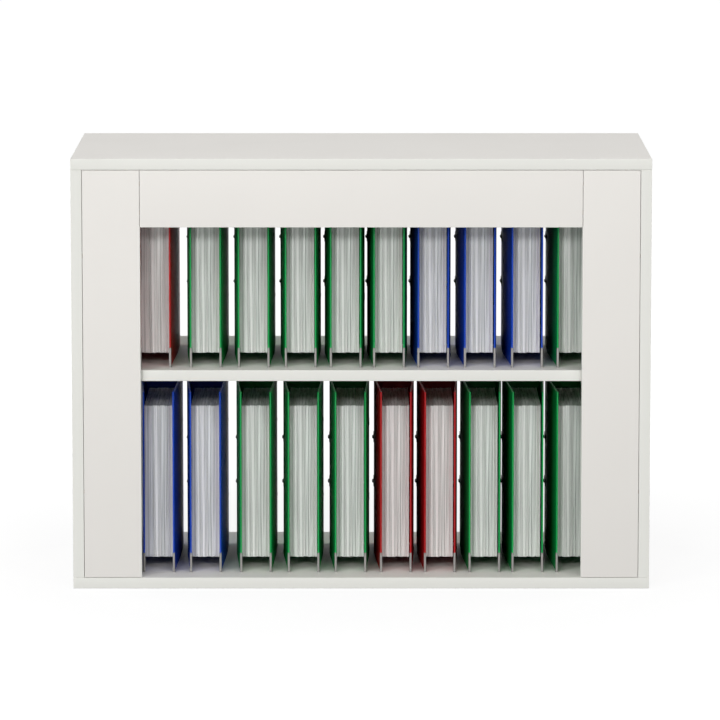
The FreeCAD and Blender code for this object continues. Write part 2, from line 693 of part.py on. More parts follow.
fill_sheet()
make_top_and_bottom()
make_side_panel("left_side_panel", LEFT, "board_thickness", False)
make_side_panel("right_side_panel", INNER_RIGHT, "0", True)
make_stile("left_stile", INNER_LEFT, "0", STILE_CORE, True)
make_stile("right_stile", f"{INNER_RIGHT} - {STILE_CORE}", STILE_CORE, "0", False)
make_rail()
make_shelf()
make_edge_bands()
make_cams()
make_bolts()
make_dowels()
make_shelf_supports()
case_pieces = make_case_boards() + make_shoes() + make_mechanism_base() + make_arches()
make_rows(case_pieces, [make_sheets()])
doc.recompute()
check_model()
export_nodes()
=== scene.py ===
"""Visual model of an open-backed board cabinet that holds two rows of lever-arch files.

Lengths are in metres in the row frame: +Z up, the framed front at -Y and the open back at +Y.
In a file's own frame, x runs from the front cover's outer face, y from the fore-edge and z from the base.
"""
import json
import logging
import math
from dataclasses import dataclass, field, replace
from enum import Enum
from typing import Any, Sequence

import bpy
import numpy as np
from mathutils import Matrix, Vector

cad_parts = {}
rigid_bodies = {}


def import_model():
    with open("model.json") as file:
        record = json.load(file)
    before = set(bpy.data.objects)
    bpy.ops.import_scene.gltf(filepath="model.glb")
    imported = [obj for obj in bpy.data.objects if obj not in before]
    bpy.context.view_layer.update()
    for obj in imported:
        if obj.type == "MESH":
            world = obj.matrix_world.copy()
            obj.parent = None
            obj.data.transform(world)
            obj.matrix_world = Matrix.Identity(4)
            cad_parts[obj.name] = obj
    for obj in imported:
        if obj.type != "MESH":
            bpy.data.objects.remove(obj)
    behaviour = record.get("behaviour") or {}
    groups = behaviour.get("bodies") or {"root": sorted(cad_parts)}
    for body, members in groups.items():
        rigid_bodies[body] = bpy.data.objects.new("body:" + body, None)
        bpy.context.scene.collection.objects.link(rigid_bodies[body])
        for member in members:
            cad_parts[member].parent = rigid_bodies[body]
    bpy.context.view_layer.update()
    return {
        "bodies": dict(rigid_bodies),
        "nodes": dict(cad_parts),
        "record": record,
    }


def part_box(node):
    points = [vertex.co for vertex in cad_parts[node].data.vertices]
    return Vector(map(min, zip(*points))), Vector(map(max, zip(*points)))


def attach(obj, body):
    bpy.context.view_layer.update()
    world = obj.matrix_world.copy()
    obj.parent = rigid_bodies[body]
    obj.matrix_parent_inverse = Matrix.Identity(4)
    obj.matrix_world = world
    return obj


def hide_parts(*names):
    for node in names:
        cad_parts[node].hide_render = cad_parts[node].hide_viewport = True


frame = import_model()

LOG = logging.getLogger("file_rack")
MM = 0.001
SMOOTH_ANGLE = math.radians(35)
OWN_PLACE = "own_place"
# Points this close are one point, and so are grid places that agree in this many decimals of a metre
WELD = 0.001 * MM
FINE_DECIMALS = 9
COVER_DECIMALS = 7
# The share of its full width that a rounded border keeps at its very end
BLUNT = 0.3
ALL_SIDES = "-x +x -y +y -z +z"

Triple = tuple[float, float, float]
Colour = Triple
Ends = tuple[float, float]
Socket = bpy.types.NodeSocket


def tone(red: int, green: int, blue: int) -> Colour:
    """Turn a display colour into the linear one that the shaders take.

    Args:
        red, green, blue: the display colour, each from 0 to 255.

    Returns:
        The linear colour.
    """
    def linear(value: float) -> float:
        """Undo the display curve for one channel."""
        share = value / 255
        return share / 12.92 if share <= 0.04045 else ((share + 0.055) / 1.055) ** 2.4
    return linear(red), linear(green), linear(blue)


# ---------------------------------------------------------------- shapes


@dataclass
class Shape:
    """A closed surface in the making, its faces pointing outwards.

    loops holds the faces' point numbers one after the other, and sizes how many each face has.
    """
    points: np.ndarray
    loops: np.ndarray
    sizes: np.ndarray
    finish: int = 0

    def at(self, x: float, y: float, z: float) -> "Shape":
        """Move the shape by an offset."""
        return replace(self, points=self.points + np.array((x, y, z)))

    def finished(self, finish: int) -> "Shape":
        """Give the shape another finish of its piece."""
        return replace(self, finish=finish)

    def outward(self) -> "Shape":
        """Turn every face round if the faces point inwards.

        Each face adds its area, as a vector, times the place of its first corner. The sum is six
        times the volume, and negative where the faces point inwards.

        Returns:
            The shape, or its copy with the faces turned.
        """
        ends = np.cumsum(self.sizes)
        starts = ends - self.sizes
        following = np.arange(1, len(self.loops) + 1)
        following[ends - 1] = starts
        corners = self.points[self.loops] - self.points[0]
        areas = np.add.reduceat(np.cross(corners, corners[following]), starts)
        if (areas * corners[starts]).sum() >= 0:
            return self
        backwards = np.repeat(ends + starts - 1, self.sizes) - np.arange(len(self.loops))
        return replace(self, loops=self.loops[backwards])


def as_points(x: Any, y: Any, z: Any) -> np.ndarray:
    """Put coordinates together into points, where each is one number or an array."""
    return np.stack(np.broadcast_arrays(x, y, z), axis=-1)


def full_turn(count: int) -> np.ndarray:
    """Give even angles once round, without the last one, which is the first again."""
    return np.linspace(0, 2 * math.pi, count, endpoint=False)


def quarter_turn(count: int) -> np.ndarray:
    """Give even angles from none to a right angle."""
    return np.radians(np.linspace(0, 90, count))


def grid_cells(number: np.ndarray) -> np.ndarray:
    """Give the four corners of each cell of a grid of numbered points."""
    return np.stack([number[:-1, :-1], number[1:, :-1], number[1:, 1:], number[:-1, 1:]], axis=-1)


def quads(corners: np.ndarray, points: np.ndarray) -> Shape:
    """Make a shape of four-cornered faces.

    Args:
        corners: an array of four point numbers per face.
        points: the points.

    Returns:
        The shape.
    """
    corners = corners.reshape(-1, 4)
    return Shape(points, corners.ravel(), np.full(len(corners), 4)).outward()


def loft(rings: np.ndarray, closed: bool = False) -> Shape:
    """Join rings of points, each to the next.

    Args:
        rings: the points as rings, places round a ring, and x, y and z.
        closed: join the last ring to the first in place of capping both.

    Returns:
        The shape.
    """
    count, around = rings.shape[:2]
    ring = np.arange(count if closed else count - 1)[:, None]
    place = np.arange(around)[None, :]
    following = (ring + 1) % count
    beside = (place + 1) % around
    corners = np.stack([ring * around + place, ring * around + beside,
                        following * around + beside, following * around + place], axis=-1)
    points = rings.reshape(-1, 3)
    loops = corners.reshape(-1)
    sizes = np.full(corners.size // 4, 4)
    if not closed:
        first = np.arange(around)[::-1]
        last = (count - 1) * around + np.arange(around)
        loops = np.concatenate([loops, first, last])
        sizes = np.concatenate([sizes, [around, around]])
    return Shape(points, loops, sizes).outward()


def windowed(front: np.ndarray, back: np.ndarray, kept: np.ndarray) -> Shape:
    """Join two skins on one grid into a panel that is open where a cell isn't kept.

    A wall stands on each grid edge that has a kept cell on one side only, along the panel's border
    and round its windows.

    Args:
        front: the grid's points on one skin.
        back: the same points on the other skin.
        kept: which cells of the grid are solid.

    Returns:
        The shape.
    """
    rows, columns = front.shape[:2]
    number = np.arange(rows * columns).reshape(rows, columns)
    other = number + rows * columns
    cell = grid_cells(number)
    faces = [cell[kept], (cell + rows * columns)[kept][:, ::-1]]
    padded = np.pad(kept, 1).astype(int)
    across = padded[1:, 1:-1] - padded[:-1, 1:-1]
    along = padded[1:-1, 1:] - padded[1:-1, :-1]
    for change, a, b, a_back, b_back in (
            (across, number[:, :-1], number[:, 1:], other[:, :-1], other[:, 1:]),
            (-along, number[:-1, :], number[1:, :], other[:-1, :], other[1:, :])):
        wall = np.stack([a, b, b_back, a_back], axis=-1)
        faces += [wall[change > 0], wall[change < 0][:, ::-1]]
    points = np.concatenate([front.reshape(-1, 3), back.reshape(-1, 3)])
    used, loops = np.unique(np.concatenate(faces), return_inverse=True)
    return quads(loops, points[used])


def eased_box(low: Sequence[float], high: Sequence[float], ease: float, sides: str = ALL_SIDES) -> Shape:
    """Make a box whose edges are rounded off.

    A point of the box's surface is drawn towards the inner box that lies the easing radius inside
    each eased side, and set at that radius from it.

    Args:
        low: the lowest corner.
        high: the highest corner.
        ease: the easing radius.
        sides: the sides that it lies inside, such as "-x +z".

    Returns:
        The shape.
    """
    low, high = np.array(low), np.array(high)
    radii_low, radii_high = (np.array([ease * (sign + axis in sides) for axis in "xyz"]) for sign in "-+")
    steps = np.tan(np.radians((45, 30, 15, 0)))
    stations = []
    for axis in range(3):
        start = low[axis] + radii_low[axis] * (1 - steps)
        end = high[axis] - radii_high[axis] * (1 - steps[::-1])
        stations.append(np.unique(np.concatenate([start, end]).round(FINE_DECIMALS)))
    pieces, faces, count = [], [], 0
    for axis in range(3):
        u_axis, v_axis = (axis + 1) % 3, (axis + 2) % 3
        u, v = np.meshgrid(stations[u_axis], stations[v_axis], indexing="ij")
        number = np.arange(u.size).reshape(u.shape)
        cell = grid_cells(number)
        for level, order in ((low[axis], -1), (high[axis], 1)):
            grid = np.empty((u.size, 3))
            grid[:, axis], grid[:, u_axis], grid[:, v_axis] = level, u.ravel(), v.ravel()
            faces.append(cell.reshape(-1, 4)[:, ::order] + count)
            pieces.append(grid)
            count += u.size
    points = np.concatenate(pieces)
    inner_low, inner_high = low + radii_low, high - radii_high
    core = np.clip(points, inner_low, inner_high)
    radius = np.where(points < inner_low, radii_low, radii_high)
    reach = np.divide(points - core, radius, out=np.zeros_like(points), where=radius > 0)
    length = np.linalg.norm(reach, axis=1, keepdims=True)
    points = core + reach / np.maximum(length, 1) * radius
    loose = np.where(radius > 0, points, np.clip(points, low, high))
    _, first, again = np.unique((loose / WELD).round().astype(np.int64), axis=0,
                                return_index=True, return_inverse=True)
    return quads(again.ravel()[np.concatenate(faces)], loose[first])


def block(x: Ends, y: Ends, z: Ends, ease: float, sides: str = ALL_SIDES) -> Shape:
    """Make an eased box from its two ends along each axis."""
    return eased_box((x[0], y[0], z[0]), (x[1], y[1], z[1]), ease, sides)


def tube(path: np.ndarray, radii: np.ndarray, across: Sequence[float], sides: int = 12) -> Shape:
    """Carry a circle along a flat path.

    A ring stands square to the path at each point, on the path's own normal and the direction that
    is square to the path's plane.

    Args:
        path: the points of the path.
        radii: the circle's radius at each point.
        across: the direction square to the path's plane.
        sides: the number of points round the circle.

    Returns:
        The shape.
    """
    tangent = np.gradient(path, axis=0)
    tangent /= np.linalg.norm(tangent, axis=1, keepdims=True)
    binormal = np.array(across, float)
    normal = np.cross(binormal, tangent)
    angle = full_turn(sides)[:, None]
    circle = np.cos(angle) * normal[:, None, :] + np.sin(angle) * binormal
    return loft(path[:, None, :] + circle * radii[:, None, None])


def domed_rod(start: np.ndarray, end: np.ndarray, radius: float, across: Sequence[float],
              sides: int = 16) -> Shape:
    """Make a straight round bar with softened ends.

    Near an end the radius follows a quarter ellipse of half the bar's radius in length.

    Args:
        start: the middle of the first end.
        end: the middle of the second end.
        radius: the bar's radius.
        across: a direction square to the bar.
        sides: the number of points round the bar.

    Returns:
        The shape.
    """
    length = np.linalg.norm(end - start)
    turn = np.radians((0, 20, 45, 70, 90))
    place = radius / 2 * (1 - np.cos(turn))
    size = radius * np.maximum(np.sin(turn), BLUNT)
    share = np.concatenate([place, length - place[::-1]]) / length
    return tube(start + share[:, None] * (end - start), np.concatenate([size, size[::-1]]), across, sides)


def sweep(outline: np.ndarray, normals: np.ndarray, profile: np.ndarray, up: Sequence[float]) -> Shape:
    """Carry a closed profile round a closed outline.

    Args:
        outline: the points of the outline.
        normals: the outward direction at each of them.
        profile: pairs of a distance along that direction and a height.
        up: the direction of the height.

    Returns:
        The shape.
    """
    rings = (outline[:, None, :] + normals[:, None, :] * profile[None, :, :1]
             + np.array(up, float) * profile[None, :, 1:])
    return loft(rings, closed=True)


# ---------------------------------------------------------------- finishes


@dataclass
class Wiring:
    """Short calls that add nodes to one node tree and link them."""
    tree: bpy.types.NodeTree

    @classmethod
    def of(cls, holder: bpy.types.Material | bpy.types.World) -> "Wiring":
        """Empty the node tree of a new material or world and start to wire it."""
        holder.use_nodes = True
        holder.node_tree.nodes.clear()
        return cls(holder.node_tree)

    def node(self, kind: str, inputs: dict[Any, Any] | None = None, **settings: Any) -> bpy.types.Node:
        """Add a node.

        Args:
            kind: the node's type.
            inputs: a value or another node's socket for each named or numbered input.
            **settings: the node's own properties.

        Returns:
            The node.
        """
        made = self.tree.nodes.new(kind)
        for name, value in settings.items():
            setattr(made, name, value)
        for name, value in (inputs or {}).items():
            if isinstance(value, Socket):
                self.tree.links.new(value, made.inputs[name])
            else:
                made.inputs[name].default_value = value
        return made

    def calculate(self, operation: str, *values: Any) -> Socket:
        """Work out one number from others."""
        return self.node("ShaderNodeMath", dict(enumerate(values)), operation=operation).outputs[0]

    def mix(self, share: Any, first: Any, second: Any) -> Socket:
        """Mix a share of a second colour into a first."""
        return self.node("ShaderNodeMix", {0: share, 6: first, 7: second}, data_type="RGBA").outputs[2]

    def noise(self, place: Any, detail: float, scale: Any = 1.0, **more: float) -> Socket:
        """Give a noise over a place."""
        inputs = {"Vector": place, "Scale": scale, "Detail": detail, **more}
        return self.node("ShaderNodeTexNoise", inputs).outputs["Fac"]

    def remap(self, value: Any, start: float, end: float, low: float, high: float) -> Socket:
        """Turn the range from start to end into the one from low to high, held at its ends."""
        inputs = {"Value": value, "From Min": start, "From Max": end, "To Min": low, "To Max": high}
        return self.node("ShaderNodeMapRange", inputs).outputs[0]

    def stretched(self, place: Socket, scale: Sequence[float]) -> Socket:
        """Stretch a place along each axis."""
        return self.node("ShaderNodeMapping", {"Vector": place, "Scale": scale}).outputs["Vector"]

    def object_place(self, scale: Sequence[float] = (1, 1, 1)) -> Socket:
        """Give the surface's place, stretched along each axis."""
        return self.stretched(self.node("ShaderNodeTexCoord").outputs["Object"], scale)

    def own_place(self, scale: Sequence[float]) -> Socket:
        """Give the surface's place in its piece's own frame, stretched along each axis."""
        attribute = self.node("ShaderNodeAttribute", attribute_name=OWN_PLACE)
        return self.stretched(attribute.outputs["Vector"], scale)


class Effect(Enum):
    """The surface effects that several finishes share, by the name of their node group."""
    CLOUDS = "soft_clouds"
    GRAIN = "fine_grain"
    RUBS = "rubbed_gloss"


def start_group(effect: Effect, **inputs: str) -> tuple[Wiring, Any]:
    """Start a node group.

    Args:
        effect: which effect the group holds.
        **inputs: the socket type of each input, without the words that all types start with.

    Returns:
        The group's wiring and the sockets of its inputs.
    """
    tree = bpy.data.node_groups.new(effect.value, "ShaderNodeTree")
    for name, kind in inputs.items():
        tree.interface.new_socket(name=name, in_out="INPUT", socket_type=f"NodeSocket{kind}")
    wiring = Wiring(tree)
    return wiring, wiring.node("NodeGroupInput").outputs


def end_group(wiring: Wiring, name: str, kind: str, value: Socket) -> bpy.types.NodeTree:
    """Give a node group its one output.

    Args:
        wiring: the group's wiring.
        name: the output's name.
        kind: its socket type, as above.
        value: the socket that it hands out.

    Returns:
        The group's tree.
    """
    wiring.tree.interface.new_socket(name=name, in_out="OUTPUT", socket_type=f"NodeSocket{kind}")
    wiring.node("NodeGroupOutput", {name: value})
    return wiring.tree


def make_clouds() -> bpy.types.NodeTree:
    """Make the group that clouds one colour softly with another."""
    wiring, given = start_group(Effect.CLOUDS, Vector="Vector", Colour="Color", Shade="Color", Scale="Float")
    noise = wiring.noise(given["Vector"], 3.0, given["Scale"])
    return end_group(wiring, "Colour", "Color", wiring.mix(noise, given["Colour"], given["Shade"]))


def make_grain() -> bpy.types.NodeTree:
    """Make the group that gives a fine uneven relief."""
    wiring, given = start_group(Effect.GRAIN, Vector="Vector", Scale="Float")
    noise = wiring.noise(given["Vector"], 2.0, given["Scale"])
    cells = wiring.node("ShaderNodeTexVoronoi", {"Vector": given["Vector"], "Scale": given["Scale"]},
                        feature="SMOOTH_F1")
    return end_group(wiring, "Height", "Float", wiring.calculate("ADD", noise, cells.outputs["Distance"]))


def make_rubs() -> bpy.types.NodeTree:
    """Make the group that varies the gloss where hands and dust have rubbed."""
    wiring, given = start_group(Effect.RUBS, Vector="Vector", Roughness="Float", Swing="Float", Scale="Float")
    noise = wiring.noise(given["Vector"], 5.0, given["Scale"], Distortion=0.4)
    centred = wiring.calculate("SUBTRACT", noise, 0.5)
    swung = wiring.calculate("MULTIPLY_ADD", centred, given["Swing"], given["Roughness"])
    return end_group(wiring, "Roughness", "Float", swung)


EFFECTS = {Effect.CLOUDS: make_clouds(), Effect.GRAIN: make_grain(), Effect.RUBS: make_rubs()}


@dataclass(frozen=True)
class Finish:
    """A plain surface: clouded colour, rubbed gloss and a fine relief.

    Scales are in patterns per metre, and the relief's depth is in metres.
    """
    name: str
    colour: Colour
    shade: Colour
    roughness: float
    slot: str
    cloud_scale: float = 6.0
    swing: float = 0.12
    rub_scale: float = 9.0
    grain: Triple = (900.0, 900.0, 900.0)
    depth: float = 0.02 * MM
    metallic: float = 0.0
    specular: float = 0.5

    def effect(self, wiring: Wiring, kind: Effect, inputs: dict[str, Any]) -> Socket:
        """Place one of the shared effects with its inputs and give its output."""
        return wiring.node("ShaderNodeGroup", inputs, node_tree=EFFECTS[kind]).outputs[0]

    def coloured(self, wiring: Wiring) -> Socket:
        """Give the colour over the surface."""
        return self.effect(wiring, Effect.CLOUDS, {
            "Vector": wiring.object_place(), "Colour": (*self.colour, 1), "Shade": (*self.shade, 1),
            "Scale": self.cloud_scale})

    def relief(self, wiring: Wiring) -> Socket:
        """Give the height over the surface, in units of the depth."""
        return self.effect(wiring, Effect.GRAIN, {"Vector": wiring.object_place(self.grain), "Scale": 1.0})

    def material(self) -> bpy.types.Material:
        """Make the material, or find it if it is made.

        Returns:
            The material.
        """
        found = bpy.data.materials.get(self.name)
        if found:
            return found
        material = bpy.data.materials.new(self.name)
        wiring = Wiring.of(material)
        gloss = self.effect(wiring, Effect.RUBS, {
            "Vector": wiring.object_place(), "Roughness": self.roughness, "Swing": self.swing,
            "Scale": self.rub_scale})
        bump = wiring.node("ShaderNodeBump", {"Height": self.relief(wiring), "Distance": self.depth,
                                              "Strength": 1.0})
        shader = wiring.node("ShaderNodeBsdfPrincipled", {
            "Base Color": self.coloured(wiring), "Roughness": gloss, "Metallic": self.metallic,
            "Specular IOR Level": self.specular, "Normal": bump.outputs["Normal"]})
        wiring.node("ShaderNodeOutputMaterial", {"Surface": shader.outputs[0]})
        return material


@dataclass(frozen=True)
class LinenFoil(Finish):
    """Plastic foil with the crossed threads of linen pressed into it."""
    thread_pitch: float = 0.6 * MM

    def relief(self, wiring: Wiring) -> Socket:
        """Multiply two sets of ridges, one across the other, and roughen them."""
        turns = 2 * math.pi / self.thread_pitch
        place = wiring.node("ShaderNodeSeparateXYZ", {0: wiring.object_place((turns, turns, turns))}).outputs
        across = wiring.calculate("SINE", wiring.calculate("ADD", place["X"], place["Y"]))
        weave = wiring.calculate("MULTIPLY", across, wiring.calculate("SINE", place["Z"]))
        return wiring.calculate("ADD", weave, super().relief(wiring))


@dataclass(frozen=True)
class LeafEdges(Finish):
    """The cut edges of stacked sheets: streaks of several greys with a few tinted leaves.

    The ends are those of the noise between which a streak or a tint comes in.
    """
    dark: Colour = tone(176, 177, 174)
    tint: Colour = tone(228, 208, 210)
    cool_tint: Colour = tone(204, 224, 216)
    leaf: Triple = (560.0, 8.0, 1.8)
    fine_leaf: Triple = (2400.0, 40.0, 8.0)
    hue_leaf: Triple = (150.0, 5.0, 1.5)
    fine_share: float = 0.65
    streak_ends: Ends = (0.7, 0.86)
    tint_ends: Ends = (0.54, 0.66)
    tint_share: float = 0.24
    cool_ends: Ends = (0.46, 0.34)
    cool_share: float = 0.1

    def coloured(self, wiring: Wiring) -> Socket:
        """Lay broad streaks, fine streaks and tinted leaves over the paper's colour."""
        broad = wiring.noise(wiring.own_place(self.leaf), 3.0, Roughness=0.75)
        fine = wiring.noise(wiring.own_place(self.fine_leaf), 1.0)
        mixed = wiring.calculate("MULTIPLY_ADD", fine, self.fine_share, broad)
        streaks = wiring.remap(mixed, *self.streak_ends, 0.0, 1.0)
        greys = wiring.mix(streaks, (*self.dark, 1), (*self.colour, 1))
        hue = wiring.noise(wiring.own_place(self.hue_leaf), 2.0)
        warmed = wiring.mix(wiring.remap(hue, *self.tint_ends, 0.0, self.tint_share), greys, (*self.tint, 1))
        cool = wiring.remap(hue, *self.cool_ends, 0.0, self.cool_share)
        return wiring.mix(cool, warmed, (*self.cool_tint, 1))

    def relief(self, wiring: Wiring) -> Socket:
        """Give the ridges between leaves."""
        return wiring.noise(wiring.own_place(self.fine_leaf), 3.0)


@dataclass(frozen=True)
class RuledCard(Finish):
    """Label card with thin printed lines to write on."""
    line: Colour = tone(120, 124, 130)
    line_pitch: float = 12 * MM
    line_share: float = 0.035

    def coloured(self, wiring: Wiring) -> Socket:
        """Darken a thin share of each pitch up the label."""
        height = wiring.node("ShaderNodeSeparateXYZ", {0: wiring.object_place()}).outputs["Z"]
        share = wiring.calculate("FRACT", wiring.calculate("DIVIDE", height, self.line_pitch))
        line = wiring.calculate("LESS_THAN", share, self.line_share)
        return wiring.mix(line, super().coloured(wiring), (*self.line, 1))


@dataclass(frozen=True)
class TurnedWood(Finish):
    """Beech with its grain along the dowels' fluting."""

    def coloured(self, wiring: Wiring) -> Socket:
        """Mix the wood's two tones in stretched bands."""
        bands = wiring.node("ShaderNodeTexWave", {"Vector": wiring.object_place((60.0, 60.0, 60.0)),
                                                  "Scale": 1.0, "Distortion": 6.0, "Detail": 3.0})
        return wiring.mix(bands.outputs["Fac"], (*self.colour, 1), (*self.shade, 1))


BOARD = Finish("white_melamine", tone(238, 235, 230), tone(234, 231, 226), 0.5, "white_board",
               depth=0.012 * MM, specular=0.25)
BAND = Finish("white_edging", tone(236, 236, 230), tone(233, 233, 227), 0.5, "white_edge_band",
              grain=(700.0, 700.0, 700.0), depth=0.012 * MM, specular=0.25)
ZINC = Finish("zinc_plate", tone(196, 198, 201), tone(168, 171, 176), 0.38, "zinc_fitting",
              cloud_scale=260.0, rub_scale=300.0, metallic=1.0)
SHOE = Finish("shoe_steel", tone(138, 136, 133), tone(118, 117, 115), 0.46, "zinc_fitting",
              cloud_scale=90.0, rub_scale=160.0, grain=(2400.0, 2400.0, 60.0), metallic=0.5)
NICKEL = Finish("nickel_plate", tone(150, 150, 148), tone(120, 121, 122), 0.3, "zinc_fitting",
                cloud_scale=120.0, rub_scale=180.0, metallic=1.0)
# Dark steel for the slot rims and the mechanism's plate, bar, lugs and arches. It is partly a black finish
# and partly painted shade: its darkness stands in for the shade that these parts show as dark outlines
# against the white background, where bright nickel would reflect that white.
BLACKED_AND_SHADED = Finish("blacked_steel_painted_shade", tone(32, 33, 34), tone(24, 25, 26), 0.5, "zinc_fitting",
                 cloud_scale=120.0, rub_scale=180.0, specular=0.35)
GRIP = Finish("black_grip", tone(26, 27, 29), tone(34, 35, 37), 0.5, "zinc_fitting")
BEECH = TurnedWood("beech", tone(205, 172, 130), tone(184, 146, 104), 0.6, "beech_dowel")
PAPER = LeafEdges("sheet_edges", tone(252, 252, 250), tone(206, 207, 205), 0.8, "paper_sheets",
                  depth=0.12 * MM, specular=0.2, dark=tone(204, 205, 202))
GREY_PAPER = LeafEdges("grey_sheet_edges", tone(234, 234, 232), tone(206, 207, 205), 0.8, "paper_sheets",
                       depth=0.12 * MM, specular=0.2, dark=tone(172, 173, 170))
CARD = RuledCard("label_card", tone(240, 239, 233), tone(233, 231, 224), 0.62, "paper_sheets")
FOILS = {name: LinenFoil(f"{name}_foil", colour, shade, 0.42, f"{name}_case_board", specular=0.3)
         for name, colour, shade in (("red", tone(182, 14, 22), tone(166, 10, 18)),
                                     ("green", tone(2, 160, 77), tone(0, 146, 69)),
                                     ("blue", tone(9, 70, 189), tone(7, 61, 172)))}


# ---------------------------------------------------------------- pieces


def make_piece(name: str, body: str, shapes: Sequence[Shape], finishes: Sequence[Finish],
               replaces: Sequence[str] = (), origin: Sequence[float] = (0, 0, 0)) -> bpy.types.Object:
    """Put shapes in one object that rides on a body.

    Args:
        name: the piece's name.
        body: the body that carries it.
        shapes: its closed shapes, in the row frame.
        finishes: its finishes, in the order of the shapes' finish numbers.
        replaces: the solid model's nodes that the piece stands for.
        origin: where the piece's own frame starts, for patterns that repeat from file to file.

    Returns:
        The object.
    """
    offsets = np.cumsum([0] + [len(shape.points) for shape in shapes[:-1]])
    points = np.concatenate([shape.points for shape in shapes])
    loops = np.concatenate([shape.loops + offset for shape, offset in zip(shapes, offsets)])
    sizes = np.concatenate([shape.sizes for shape in shapes])
    numbers = np.concatenate([np.full(len(shape.sizes), shape.finish) for shape in shapes])
    mesh = bpy.data.meshes.new(name)
    mesh.vertices.add(len(points))
    mesh.vertices.foreach_set("co", points.astype(np.float32).ravel())
    mesh.loops.add(len(loops))
    mesh.loops.foreach_set("vertex_index", loops.astype(np.int32))
    mesh.polygons.add(len(sizes))
    mesh.polygons.foreach_set("loop_start", (np.cumsum(sizes) - sizes).astype(np.int32))
    mesh.polygons.foreach_set("material_index", numbers.astype(np.int32))
    mesh.polygons.foreach_set("use_smooth", np.ones(len(sizes), bool))
    mesh.update(calc_edges=True)
    place = mesh.attributes.new(OWN_PLACE, "FLOAT_VECTOR", "POINT")
    place.data.foreach_set("vector", (points - np.array(origin)).astype(np.float32).ravel())
    mesh.set_sharp_from_angle(angle=SMOOTH_ANGLE)
    for finish in finishes:
        mesh.materials.append(finish.material())
    piece = bpy.data.objects.new(name, mesh)
    bpy.context.scene.collection.objects.link(piece)
    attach(piece, body)
    if replaces:
        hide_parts(*replaces)
    LOG.info("%s rides on %s with %d faces", name, body, len(sizes))
    return piece


def dress(node: str, finish: Finish) -> None:
    """Give a node of the solid model a finish.

    Args:
        node: the node's name.
        finish: its new finish.
    """
    mesh = frame["nodes"][node].data
    mesh.materials.clear()
    mesh.materials.append(finish.material())
    LOG.info("%s is dressed in %s", node, finish.name)


@dataclass
class Cabinet:
    """The board carcass with its edge bands, its front frame, its shelf and its fittings."""
    body: str = "cabinet"
    band: float = 1 * MM
    board: float = 19 * MM
    ease: float = 0.6 * MM
    seam: float = 0.3 * MM
    joint_gap: float = 0.8 * MM

    def strip(self, low: Sequence[float], high: Sequence[float], side: str, eased: str) -> Shape:
        """Make the edge band that lies along one side of a box.

        Args:
            low: the box's lowest corner.
            high: the box's highest corner.
            side: the side, such as "-x".
            eased: the sides of the band that are rounded off.

        Returns:
            The shape.
        """
        axis, start, end = "xyz".index(side[1]), list(low), list(high)
        if side[0] == "-":
            end[axis] = low[axis] + self.band
        else:
            start[axis] = high[axis] - self.band
        return eased_box(start, end, self.ease, eased)

    def panel_bands(self, name: str, node: str) -> None:
        """Make the four bands round the top or the bottom panel.

        Args:
            name: the piece's name.
            node: the node that it replaces.
        """
        low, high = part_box(node)
        shapes = [self.strip(low, high, side, f"-x +x {side} -z +z") for side in ("-y", "+y")]
        low, high = (low.x, low.y + self.band, low.z), (high.x, high.y - self.band, high.z)
        shapes += [self.strip(low, high, side, f"{side} -z +z") for side in ("-x", "+x")]
        make_piece(name, self.body, shapes, [BAND], [node])

    def side_bands(self) -> None:
        """Make the bands on the front and rear edges of both side panels."""
        low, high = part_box("side_edge_bands")
        board, gap = self.board, self.joint_gap / 2
        shapes = [self.strip((x, low.y, low.z + gap), (x + board, high.y, high.z - gap), side,
                             f"-x +x {side}")
                  for x in (low.x, high.x - board) for side in ("-y", "+y")]
        make_piece("side_bands", self.body, shapes, [BAND], ["side_edge_bands"])

    def frame_boards(self) -> None:
        """Make the stiles and the rail, with a fine open joint where they meet another board."""
        seam, gap = self.seam, self.joint_gap
        for side, outer in (("left", "-x"), ("right", "+x")):
            node = f"{side}_stile"
            low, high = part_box(node)
            shape = block((low.x + gap * (outer == "-x"), high.x - gap * (outer == "+x")), (low.y, high.y),
                          (low.z + gap, high.z - gap), seam, f"{outer} -y +y -z +z")
            make_piece(f"{side}_stile_board", self.body, [shape], [BOARD], [node])
        low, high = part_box("top_rail")
        shape = block((low.x + gap, high.x - gap), (low.y, high.y), (low.z, high.z - gap), seam,
                      "-x +x -y +y +z")
        make_piece("rail_board", self.body, [shape], [BOARD], ["top_rail"])

    def edge_bands(self, name: str, node: str, eased: dict[str, str]) -> None:
        """Make the bands that lie along some sides of their node's box.

        Args:
            name: the piece's name.
            node: the node that it replaces.
            eased: the sides of each band that are rounded off, by the side that the band lies along.
        """
        low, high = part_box(node)
        shapes = [self.strip(low, high, side, sides) for side, sides in eased.items()]
        make_piece(name, self.body, shapes, [BAND], [node])

    def build(self) -> None:
        """Build the bands and the frame, and dress the boards and fittings that stay as they are."""
        self.panel_bands("top_bands", "top_edge_bands")
        self.panel_bands("bottom_bands", "bottom_edge_bands")
        self.side_bands()
        self.frame_boards()
        self.edge_bands("stile_bands", "stile_edge_bands", {"-x": "+x -y +y", "+x": "-x -y +y"})
        low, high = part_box("rail_edge_band")
        shape = eased_box(low, high, self.ease, "-y +y -z")
        make_piece("rail_band", self.body, [shape], [BAND], ["rail_edge_band"])
        self.edge_bands("shelf_bands", "shelf_edge_bands", {"-y": "-x +x -y -z +z", "+y": "-x +x +y -z +z"})
        for node in ("top_panel", "bottom_panel", "left_side_panel", "right_side_panel", "middle_shelf"):
            dress(node, BOARD)
        for node in ("cam_housings", "cam_bolts", "shelf_supports"):
            dress(node, ZINC)
        for node in ("panel_dowels", "frame_dowels"):
            dress(node, BEECH)


